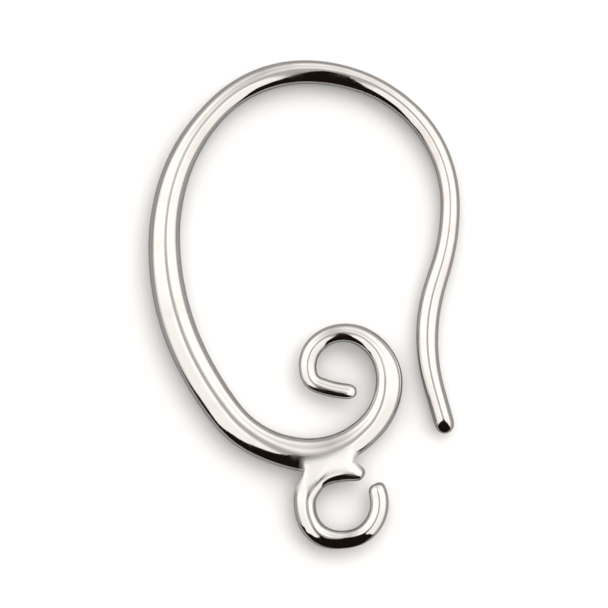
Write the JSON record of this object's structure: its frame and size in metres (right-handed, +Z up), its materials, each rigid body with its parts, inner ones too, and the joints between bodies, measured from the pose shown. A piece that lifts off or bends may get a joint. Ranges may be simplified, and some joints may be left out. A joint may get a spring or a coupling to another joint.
{
  "type": "ear wire",
  "caption": "Cast metal ear wire lying flat: round post, high arch, heavier front sweep ending in a rolled curl, and an open loop below for hanging a drop.",
  "frame": {"origin": "middle of the ear wire's outline, on the table that it lies on", "axes": "+Z up from the table, +Y from the hanging loop to the top of the arch, +X towards the post"},
  "size_m": [0.0124, 0.0194, 0.0012],
  "materials": {
    "plated_metal": "polished, plated white metal"
  },
  "bodies": {
    "root": {"ear_wire": "plated_metal"}
  },
  "joints": []
}
